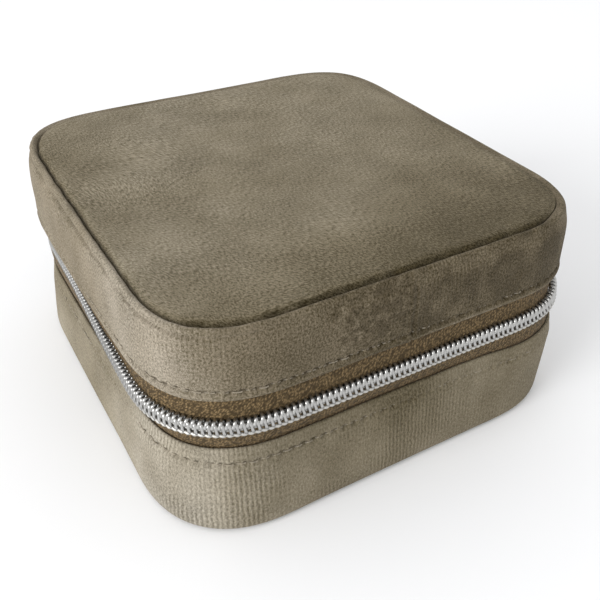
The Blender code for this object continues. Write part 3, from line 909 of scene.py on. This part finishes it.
def top_panel():
    """The padded top: shrinking outlines from the groove to the middle."""
    edge = [2.75, 2.5, 2.42, 2.48, 2.62, 2.85, 3.15, 3.5]
    drops = [-2.3, -1.9, -1.45, -1.1, -0.76, -0.44, -0.18, -0.05]
    insets = np.concatenate([edge, np.linspace(3.8, 46, 76)])
    heights = LID_TOP + np.interp(insets, [3.4, 4.4, 6.5, 12, 25, 50], [0.0, 0.07, 0.14, 0.24, 0.4, 0.5])
    heights[:len(drops)] = LID_TOP + np.array(drops)
    points, ways, depth = nested_rings(insets, heights, LID_CORNER_RADIUS, PANEL_COLUMNS)
    normals = ways * unit(1 - (depth - 2.4) / 20)[..., None]
    strength = seam_strength(ways)
    flat = points * [1, 1, 0]
    pinch = seam_pinch(flat) * bell(depth - 2.5, 0.9) * strength
    points[..., :2] -= 0.28 * ways * (bell(depth - 2.6, 0.8) * unit(-ways[..., 1]) ** 2)[..., None]
    points[..., :2] += 0.26 * ways * pinch[..., None]
    x, y, z = parts(points)
    z += 0.2 * pinch
    flush = (1 - strength) * (1 - ease(depth, 2.8, 3.8))
    flush[:2] = 0
    z += flush * (LID_TOP - 0.3 - z)
    z += unit((depth - 3) / 6) * (0.13 * cloud(flat, 24.0, 18) + 0.035 * cloud(flat, 5.0, 19))
    z += bell(depth - 3.6, 1.6) * 0.12 * strength * cloud(flat, 3.0, 20)
    np.minimum(z, CROWN_TOP + 0.25, out=z)
    tone_and_light = 0.26 * cloud(flat, 24.0, 21) + 0.14 * cloud(flat, 7.0, 22) + 0.16
    # painted shade towards the right and the front of the top, and in the seam's groove below
    tone_and_light = tone_and_light - 0.22 * ease(x - 0.25 * y, 0, 54) - 0.95 * ease(-y + 0.2 * x, 16, 54)
    tone_and_light = tone_and_light + seam_shade(flat, ways, depth - 2.7)
    turned_down = np.clip(LID_TOP - z, 0, None)
    u = x + ways[..., 0] * turned_down + 6 * cloud(flat, 30.0, 24)
    v = y + ways[..., 1] * turned_down + 6 * cloud(flat, 34.0, 25)
    item = grid_object("lid_top_velvet", settled(points, normals), u, v, tone_and_light, wrap=True)
    close_middle(item, PANEL_COLUMNS)
    finish(item, TOP, LID, ["lid_top_panel"])


def stitch_row(name, body, height, offset, seed):
    """A run of thread stitches round the case; most sink into the pile, a few stand out."""
    chance = np.random.RandomState(seed)
    paths = []
    for number in range(int(WALL.length / STITCH)):
        middle = (number + 0.5) * STITCH
        reach = STITCH * (0.33 + 0.06 * chance.rand())
        s = np.linspace(middle - reach, middle + reach, 6)
        flat = WALL.at(s)
        normals = WALL.normal_at(s)
        sunk = 0.17 * ease(flat[:, 0].mean(), -26, 8)
        proud = -0.24 + 0.34 * chance.rand() ** 2.5 - sunk
        arch = offset + proud + 0.16 * np.cos(np.linspace(-1.5, 1.5, 6))
        slant = height + np.linspace(-0.08, 0.08, 6) + 0.12 * (chance.rand() - 0.5)
        paths.append(settled(np.column_stack([flat + normals * arch[:, None], slant]), normals))
    item = many_tubes(name, paths, STITCH_RADIUS, 6)
    finish(item, STITCHING, body)


# ---- zip

TAPE_START = corner(TAPE_INSET, CORNER_RADIUS, TAPE_END_ANGLE, 0)
TAPE_ROUTE = Route(zip_outline(TAPE_INSET, TAPE_START, TAPE_END_ANGLE), False, 0.5)
CHAIN_START = np.array([[HALF_WIDTH + CHAIN_OUT, COIL_END_Y]])
CHAIN = Route(zip_outline(-CHAIN_OUT, CHAIN_START, COIL_END_ANGLE), False, 0.3)


def zip_body(side):
    return BASE if side < 0 else LID


def chain_lean(points):
    """1 where the chain leans out at the bottom, on the front and left walls, and 0 by the slider."""
    return 1 - ease(points[..., 1] - 120.0 * (points[..., 0] < 0), -30, -5)


def sunk_left(points):
    """1 where the zip has sunk between the hems, along the left wall, and 0 elsewhere."""
    return ease(points[..., 1], -40, 20) * ease(-points[..., 0], 10, 40)


def chain_shade(s, sides):
    """Painted shade on the chain along the left wall, where it lies sunk between the hems; one value for each
    point of a tube.
    """
    flat = CHAIN.at(s)
    painted_chain_shade = -0.42 * ease(-flat[:, 0], 40, 52) * ease(flat[:, 1], -46, -18)
    return np.repeat(painted_chain_shade, sides)


def placed_on_chain(s, height, out):
    """Puts chain points in place: s along it, height from the middle line, out from the wall."""
    normals = CHAIN.normal_at(s)
    flat = CHAIN.at(s)
    lean = chain_lean(flat)
    sunk = sunk_left(flat)
    out = (out + lean * (0.12 - 0.16 * height)) * (1 - 0.25 * sunk) - 1.75 * sunk
    height = height * (1 - 0.3 * sunk) - 0.42 * lean
    return settled(np.column_stack([flat + normals * (out - CHAIN_OUT)[:, None], ZIP_Z + height]), normals)


def zip_tape(row, side):
    """One tape, from under its hem to behind the chain."""
    if side > 0:
        profile = from_level(LID_HEM, [(-1.3, 2.4), (-1.05, 0.6), (-0.75, -1.2)])
        profile += from_level(ZIP_Z, [(-0.45, 2.6), (-0.3, 1.2), (-0.3, 0.5), (-0.7, 0.5)])
        profile += from_level(LID_HEM, [(-1.6, 2.4)])
    else:
        profile = from_level(ZIP_Z, [(-0.7, -0.5), (-0.25, -0.5), (-0.15, -1.2), (-0.2, -2.6)])
        hem = [(-0.75, 2.2), (-1.25, 0.4), (-1.55, -1.0), (-1.65, -3.0), (-1.95, -3.0)]
        profile += from_level(BASE_HEM, hem)

    def shape(points, offset, height, around, route):
        parted = 0.5 * ease(points[..., 1], 44, 50) * (np.abs(height - ZIP_Z) < 1.4)
        pushed = 0.7 * sunk_left(points) * bell(height - ZIP_Z, 3.2)
        return offset + TAPE_INSET - pushed + 0.05 * cloud(points, 6.0, 23), height + side * parted

    cover = skin(f"zip_tape_{row}", TAPE_ROUTE, profile, 0.3, shape)
    finish(cover, TAPE, zip_body(side), [f"{row}_zip_tape"])


def coil_row(row, side):
    """One continuous wire: each turn runs over the front to a head at the middle and back behind."""
    turns = int((CHAIN.length - 2 * COIL_MARGIN) / COIL_PITCH)
    along = np.repeat(np.arange(turns), len(TURN_ALONG)) + np.tile(TURN_ALONG, turns)
    s = COIL_MARGIN + along * COIL_PITCH
    if side > 0:
        s = s + COIL_PITCH / 2
    height = side * MEET + np.tile(TURN_REACH, turns) * (ROW_REACH[side] - side * MEET)
    height = height + 0.55 * (1 - ease(s, 2, 9))
    fine = denser(np.stack([s, height, np.tile(TURN_OUT, turns), np.tile(TURN_WIDTH, turns)], 1))
    path = placed_on_chain(fine[:, 0], side * fine[:, 1], fine[:, 2])
    item = tube(f"zip_coil_{row}", path, WIRE * fine[:, 3], WIRE_SIDES)
    set_tone_and_light(item, chain_shade(fine[:, 0], WIRE_SIDES))
    finish(item, COIL_METAL, zip_body(side), [f"{row}_zip_coil"])


def coil_core(row, side):
    """The cord inside the coil, seen between its turns."""
    s = np.arange(CORD_MARGIN, CHAIN.length - CORD_MARGIN, 0.5)
    height = np.full(len(s), CORE_HEIGHT[side])
    path = placed_on_chain(s, height, np.full(len(s), 0.38))
    item = tube(f"zip_core_{row}", path, CORE_RADIUS[side], WIRE_SIDES)
    finish(item, CORE_CORD if side > 0 else COIL_CORD, zip_body(side))


def coil_rail():
    """The bright cord along the lower row's outer edge."""
    s = np.arange(CORD_MARGIN, CHAIN.length - CORD_MARGIN, 0.26)
    wave = np.cos(2 * math.pi * s / COIL_PITCH)
    path = placed_on_chain(s, -(ROW_REACH[-1] + 0.05 + 0.05 * wave), 0.92 + 0.08 * wave)
    item = tube("zip_rail_lower", path, 0.34, RAIL_SIDES)
    set_tone_and_light(item, chain_shade(s, RAIL_SIDES))
    finish(item, COIL_CORD, BASE)


def softened(node, body, look, width, follow=False):
    """A copy of a rigid CAD piece with its edges rounded, moved with the chain's end if it follows."""
    mesh = frame["nodes"][node].data.copy()
    shape = bmesh.new()
    shape.from_mesh(mesh)
    bmesh.ops.remove_doubles(shape, verts=shape.verts, dist=1e-6)
    bmesh.ops.dissolve_limit(shape, angle_limit=0.02, verts=shape.verts, edges=shape.edges)
    shape.to_mesh(mesh)
    shape.free()
    item = make_object(f"{node}_metal", mesh)
    if follow:
        low, high = limits(node)
        middle = (low + high) / 2
        side = np.sign(middle[2] - ZIP_Z)
        nearest = np.argmin(np.linalg.norm(CHAIN.p - middle[:2], axis=1))
        end = placed_on_chain(CHAIN.s[nearest:nearest + 1], np.array([side * 0.95]), np.array([0.3]))[0]
        move = (end - middle) * [0.5, 0.5, 1]
        item.data.vertices.foreach_set("co", (coordinates(mesh) + move * MM).ravel())
    mesh.shade_smooth()
    mesh.set_sharp_from_angle(angle=SHARP_ANGLE)
    bevel = item.modifiers.new("edges", "BEVEL")
    bevel.width = width * MM
    bevel.segments = 2
    bevel.limit_method = "ANGLE"
    bevel.angle_limit = SHARP_ANGLE
    finish(item, look, body, [node])


def zip_metalwork():
    softened("zip_slider", "zip_slider", ZIP_METAL, 0.22)
    softened("zip_pull", "zip_pull", ZIP_METAL, 0.25)
    for side in ("right", "left"):
        for row, body in (("lower", BASE), ("upper", LID)):
            softened(f"zip_stop_{side}_{row}", body, ZIP_METAL, 0.25, follow=side == "left")


# ---- lining and padding inside

def lining_wall(name, node, body, side):
    """One lining wall: from the back of the tape over its rim and along the inside of the case."""
    low, high = limits(node)
    rim = high[2] if side < 0 else low[2]
    far = low[2] + 0.2 if side < 0 else high[2] - 0.2
    rises = [(-1.25, 3.2), (-1.3, 2.0), (-1.7, 1.25), (-2.6, 0.95), (-3.7, 0.75), (-4.3, 0.2), (-4.75, -0.02),
             (-5.15, 0.3), (-5.25, 1.4), (-5.3, 5.0)]
    profile = from_level(rim, [(offset, side * rise) for offset, rise in rises]) + [(-5.25, far)]

    def shape(points, offset, height, around, route):
        soft = 0.1 * cloud(points, 14.0, 31) + 0.05 * cloud(points * [1, 1, 0.5], 3.5, 32)
        stitched = 0.2 * bell(offset + 3.2, 0.25) * (0.6 + 0.4 * np.cos(2 * math.pi * around / STITCH))
        return offset + ease(-offset, 4.2, 5.0) * soft, height + side * stitched

    def shade(points):
        return 0.5 * cloud(points, 18.0, 33) + 0.3 * cloud(points, 5.0, 34)

    cover = skin(name, WALL, profile, 0.5, shape, shade, lining=True)
    finish(cover, LINING, body, [node])


def flat_lining(name, node, body, side, material):
    """A padded sheet over a flat board that fills its layer, facing up or down."""
    low, high = limits(node)
    inset = HALF_WIDTH - high[0]
    insets = np.concatenate([inset + np.array([0.05, 0.12, 0.4, 0.9]), np.linspace(inset + 2, 44, 40)])
    heights = np.full(len(insets), high[2] if side > 0 else low[2])
    heights[:4] -= side * np.array([1.2, 0.6, 0.22, 0.06])
    points, _, depth = nested_rings(insets, heights, CORNER_RADIUS, LINING_COLUMNS)
    flat = points * [1, 1, 0]
    points[..., 2] += side * unit((depth - inset - 0.5) / 4) * (0.05 * cloud(flat, 16.0, 35) - 0.06)
    tone_and_light = 0.5 * cloud(flat, 18.0, 36) + 0.3 * cloud(flat, 5.0, 37)
    item = grid_object(name, points, points[..., 0], points[..., 1], tone_and_light, wrap=True)
    if side < 0:
        item.data.flip_normals()
    close_middle(item, LINING_COLUMNS)
    finish(item, material, body, [node])


def ring_bed():
    """The padded bed under the ring rolls, round at its front corners."""
    low, high = limits("ring_bed")
    rows = np.linspace(low[1] + 0.3, high[1], 70)
    outline = corner(HALF_WIDTH - high[0], CORNER_RADIUS)[::-1] * [1, -1]
    reach = np.interp(rows, outline[:, 1], outline[:, 0])
    across = np.linspace(-1, 1, 140)
    x = reach[:, None] * across[None]
    y = np.repeat(rows[:, None], len(across), 1)
    place = np.stack([x, y, np.zeros_like(x)], -1)
    edge = np.minimum(reach[:, None] * (1 - np.abs(across[None])), np.minimum(high[1] - y, y - low[1]))
    place[..., 2] = high[2] - 0.9 * bell(edge, 0.5) + 0.06 * cloud(place, 9.0, 38)
    item = grid_object("ring_bed_velvet", place, x, y, 0.5 * cloud(place, 12.0, 39))
    finish(item, LINING, BASE, ["ring_bed"])


def roll_cage(number):
    """A slack sleeve for one ring roll, its ends gathered, and the points where it is sewn down."""
    low, high = limits(f"ring_roll_{number}")
    middle = (low + high) / 2
    radius = (high[2] - low[2]) / 2 - 0.22
    half = (high[0] - low[0]) / 2
    inner = np.arange(-half + 2.6, half - 2.5, ROLL_STEP)
    ends = np.array([0.12, 0.35, 0.9, 1.7])
    gathered = np.array([0.3, 0.62, 0.86, 0.97])
    along = np.concatenate([-half + ends, inner, half - ends[::-1]])
    shrink = np.concatenate([gathered, np.ones(len(inner)), gathered[::-1]])
    turn = np.arange(ROLL_RINGS) * 2 * math.pi / ROLL_RINGS
    x = np.repeat(along[:, None], ROLL_RINGS, 1)
    size = radius * shrink[:, None]
    gather = 1 + 0.05 * np.cos(turn * 7 + number)[None] * bell(half - np.abs(x), 2.2)
    y = middle[1] + size * gather * np.cos(turn)[None]
    z = middle[2] + size * gather * np.sin(turn)[None]
    points = np.stack([x, y, z], -1)
    points = points + 0.06 * cloud(points, 4.0, 40 + number)[..., None] * np.array([0, 1, 1])
    held = np.zeros(x.shape, bool)
    held[:, np.abs(np.sin(turn) + 1) < 0.03] = True
    held[[0, 1, -2, -1]] = True
    return points, held, turn * radius


def ring_rolls():
    """Four stuffed rolls, blown up by the cloth solver and closed at their gathered ends."""
    cages = []
    for number in (1, 2, 3, 4):
        points, held, around = roll_cage(number)
        tone_and_light = 0.5 * cloud(points, 14.0, 45) + 0.3 * cloud(points, 4.0, 46)
        name = f"ring_roll_velvet_{number}"
        item = grid_object(name, points, around[None], points[:, :1, 0], tone_and_light, wrap=True)
        close_ends(item, ROLL_RINGS)
        cages.append((item, held.ravel()))
    inflate(cages)
    for number, (item, _) in enumerate(cages, 1):
        smooth = item.modifiers.new("smooth", "SUBSURF")
        smooth.levels = 1
        smooth.render_levels = 1
        finish(item, LINING, BASE, [f"ring_roll_{number}"])


def inflate(cages):
    """Blows up closed covers with the cloth solver, at a scale that suits it, and applies the result."""
    scene = bpy.context.scene
    starts = []
    for item, held in cages:
        start = coordinates(item.data)
        starts.append(start)
        item.data.vertices.foreach_set("co", (start * SIM_SCALE).ravel())
        group = item.vertex_groups.new(name="sewn")
        group.add(np.flatnonzero(held).tolist(), 1.0, "REPLACE")
        cloth = item.modifiers.new("cloth", "CLOTH")
        cloth.settings.vertex_group_mass = "sewn"
        cloth.settings.use_pressure = True
        cloth.settings.uniform_pressure_force = ROLL_PRESSURE
        cloth.settings.effector_weights.gravity = 0
        cloth.settings.quality = 5
        cloth.point_cache.frame_start = 1
        cloth.point_cache.frame_end = SIM_FRAMES
    for number in range(1, SIM_FRAMES + 1):
        scene.frame_set(number)
    graph = bpy.context.evaluated_depsgraph_get()
    for (item, _), start in zip(cages, starts):
        blown = coordinates(item.evaluated_get(graph).data) / SIM_SCALE
        item.modifiers.clear()
        item.vertex_groups.clear()
        move = blown - start
        reach = np.maximum(np.linalg.norm(move, axis=1, keepdims=True), 1e-9)
        move = move * np.minimum(1, ROLL_CAP * MM / reach)
        item.data.vertices.foreach_set("co", (start + move).ravel())
        item.data.update()
    scene.frame_set(1)


def rounded_section(half_thickness, low, high):
    """A closed rounded rectangle (thickness, height), with points along its long sides."""
    arc = np.radians(np.linspace(0, 90, 5))
    thick = half_thickness - BOARD_ROUNDING + BOARD_ROUNDING * np.cos(arc)
    top = np.stack([thick, high - BOARD_ROUNDING + BOARD_ROUNDING * np.sin(arc)], 1)
    bottom = np.stack([thick, low + high - top[:, 1]], 1)[::-1]
    heights = np.arange(low + BOARD_ROUNDING + BOARD_STEP, high - BOARD_ROUNDING - BOARD_STEP / 2, BOARD_STEP)
    side = np.stack([np.full(len(heights), half_thickness), heights], 1)
    right = np.concatenate([bottom, side, top])
    return np.concatenate([right, right[::-1] * [-1, 1]])


def wrapped_board(node, body, along, slots=(), slot_side=1):
    """A board wrapped in velvet: rounded edges, a soft surface and pressed slots."""
    low, high = limits(node)
    across = 1 - along
    middle = (low[across] + high[across]) / 2
    half = (high[across] - low[across]) / 2
    run = np.concatenate([low[along] + np.array([0.0, 0.08, 0.28, 0.6]),
                          np.arange(low[along] + 1.0, high[along] - 0.9, 0.5),
                          high[along] - np.array([0.6, 0.28, 0.08, 0.0])])
    from_end = np.minimum(run - low[along], high[along] - run)
    within = np.clip(BOARD_ROUNDING - from_end, 0, None)
    inset = BOARD_ROUNDING - np.sqrt(np.clip(BOARD_ROUNDING ** 2 - within ** 2, 0, None))
    section = rounded_section(half, low[2], high[2])
    centre = np.array([0, (low[2] + high[2]) / 2])
    points = np.zeros((len(run), len(section), 3))
    for row, (place, shrink) in enumerate(zip(run, inset)):
        scale = 1 - shrink / np.array([half, (high[2] - low[2]) / 2])
        loop = centre + (section - centre) * scale
        points[row, :, along] = place
        points[row, :, across] = middle + loop[:, 0]
        points[row, :, 2] = loop[:, 1]
    side = np.sign(points[..., across] - middle)
    face = np.abs(points[..., across] - middle) > half * 0.7
    points[..., across] += side * face * (0.03 * cloud(points, 5.0, 50) - 0.03)
    for slot in slots:
        press = ease(SLOT_HALF - np.abs(points[..., along] - slot), 0, 0.35)
        points[..., across] -= slot_side * SLOT_DEPTH * press * (side == slot_side)
    tone_and_light = 0.4 * cloud(points, 12.0, 51) + 0.3 * cloud(points, 4.0, 52)
    around = run_along(section)[None]
    item = grid_object(f"{node}_velvet", points, around, run[:, None], tone_and_light, wrap=True)
    close_ends(item, len(section))
    finish(item, LINING, body, [node])


def dividers():
    """The fixed wall with its slots, the two guides behind it and the lift-out dividers."""
    stations = [sum(end[0] for end in limits(f"lift_out_divider_{number}")) / 2 for number in (1, 2)]
    wrapped_board("main_divider", BASE, 0, stations)
    for number, station in enumerate(stations, 1):
        wrapped_board(f"rear_guide_{number}", BASE, 0, [station], slot_side=-1)
    wrapped_board("lift_out_divider_1", "divider_left", 1)
    wrapped_board("lift_out_divider_2", "divider_right", 1)


# ---- fabric hinge

def hinge_cloth():
    """One strip of cloth at the back, across the line where the lid turns."""
    back = closed_outline(0.0)
    limit = limits("hinge_strip_lower")[1][0] + 1.2
    back = back[(back[:, 1] > 0) & (np.abs(back[:, 0]) < limit)]
    line = Route(back[np.argsort(back[:, 0])], False, 0.6)
    bottom = limits("hinge_strip_lower")[0][2] + 0.6
    top = limits("hinge_strip_upper")[1][2] - 0.6
    profile = from_level(bottom, [(-1.6, 0), (-1.1, 1.2)])
    profile += from_level(BASE_HEM, [(-0.6, 0), (-0.4, 2.5)]) + [(-0.35, ZIP_Z)]
    profile += from_level(LID_HEM, [(-0.4, -2.5), (-0.6, 0)])
    profile += from_level(top, [(-1.1, -1.2), (-1.6, 0), (-1.85, -1.5)])
    profile += from_level(ZIP_Z, [(-1.8, 3), (-1.75, 0), (-1.8, -3)])
    profile += from_level(bottom, [(-1.85, 1.5), (-1.6, 0)])

    def shape(points, offset, height, around, route):
        crossing = bell(height - ZIP_Z, 5.0)
        folds = 0.12 * cloud(points * [0.25, 1, 1], 1.6, 53) + 0.1 * cloud(points, 8.0, 54)
        return offset + crossing * folds * ease(offset, -1.2, -0.6), height

    item = skin("hinge_velvet", line, profile, 0.3, shape, side_tone_and_light)
    finish(item, OUTER, replaces=["hinge_strip_lower", "hinge_strip_upper"])
    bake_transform(item)


# ---- studio

def studio():
    """A wide pale floor under an even white sky."""
    mesh = bpy.data.meshes.new("floor")
    shape = bmesh.new()
    bmesh.ops.create_grid(shape, x_segments=1, y_segments=1, size=FLOOR_REACH)
    shape.to_mesh(mesh)
    shape.free()
    floor = make_object("floor", mesh)
    white = Nodes("floor_white").surface(Base_Color=(*FLOOR_WHITE, 1), Roughness=0.9, Specular_IOR_Level=0.1)
    floor.data.materials.append(white)
    world = bpy.data.worlds.new("studio")
    world.use_nodes = True
    sky = world.node_tree.nodes["Background"].inputs
    sky["Color"].default_value = (1, 1, 1, 1)
    sky["Strength"].default_value = SKY_STRENGTH
    bpy.context.scene.world = world
    bpy.context.scene.view_settings.view_transform = "Standard"


def key_light():
    """One large soft lamp, low on the left."""
    light = bpy.data.lights.new("key", "AREA")
    light.shape = "DISK"
    light.size = KEY_SIZE
    light.energy = KEY_POWER
    lamp = make_object("key", light)
    lamp.location = KEY_PLACE
    lamp.rotation_euler = (Vector(KEY_TARGET) - Vector(KEY_PLACE)).to_track_quat("-Z", "Y").to_euler()


def camera():
    """The photo's viewpoint, fitted to the case's outline."""
    lens = bpy.data.cameras.new("camera")
    lens.sensor_width = SENSOR_WIDTH
    lens.lens = FOCAL_LENGTH
    lens.clip_start = NEAR_CLIP
    eye = make_object("camera", lens)
    level = math.cos(CAMERA_ELEVATION)
    right = math.sin(CAMERA_AZIMUTH) * level
    behind = -math.cos(CAMERA_AZIMUTH) * level
    back = Vector((right, behind, math.sin(CAMERA_ELEVATION)))
    turn = back.to_track_quat("Z", "Y").to_matrix().to_4x4() @ Matrix.Rotation(CAMERA_ROLL, 4, "Z")
    eye.matrix_world = Matrix.Translation(Vector(CAMERA_PLACE_MM) * MM) @ turn
    bpy.context.scene.camera = eye


camera()
studio()
key_light()

lid_side()
top_panel()
base_side()
stitch_row("lid_hem_stitches", LID, LID_STITCH_Z, 0.42, seed=1)
stitch_row("base_hem_stitches", BASE, BASE_STITCH_Z, -0.12, seed=2)
for row_name, row_side in (("lower", -1), ("upper", 1)):
    zip_tape(row_name, row_side)
    coil_row(row_name, row_side)
    coil_core(row_name, row_side)
coil_rail()

lining_wall("base_lining_velvet", "base_lining_wall", BASE, -1)
lining_wall("lid_lining_velvet", "lid_lining_wall", LID, 1)
flat_lining("base_floor_velvet", "base_lining_floor", BASE, 1, LINING)
flat_lining("mirror_backing_velvet", "mirror_backing", LID, -1, LINING)
flat_lining("base_bottom_velvet", "base_bottom_panel", BASE, -1, BOTTOM)
ring_bed()
ring_rolls()
dividers()
hinge_cloth()
zip_metalwork()
softened("mirror_frame", LID, CHAMPAGNE, 0.35)

CAD_LOOKS = {
    GREYBOARD: ["base_floor_board", "base_wall_board", "lid_wall_board", "lid_top_board"],
    FOAM: ["lid_top_foam"],
    MIRROR: ["mirror_glass"],
}
for cad_look, cad_nodes in CAD_LOOKS.items():
    for cad_node in cad_nodes:
        finish(frame["nodes"][cad_node], cad_look)
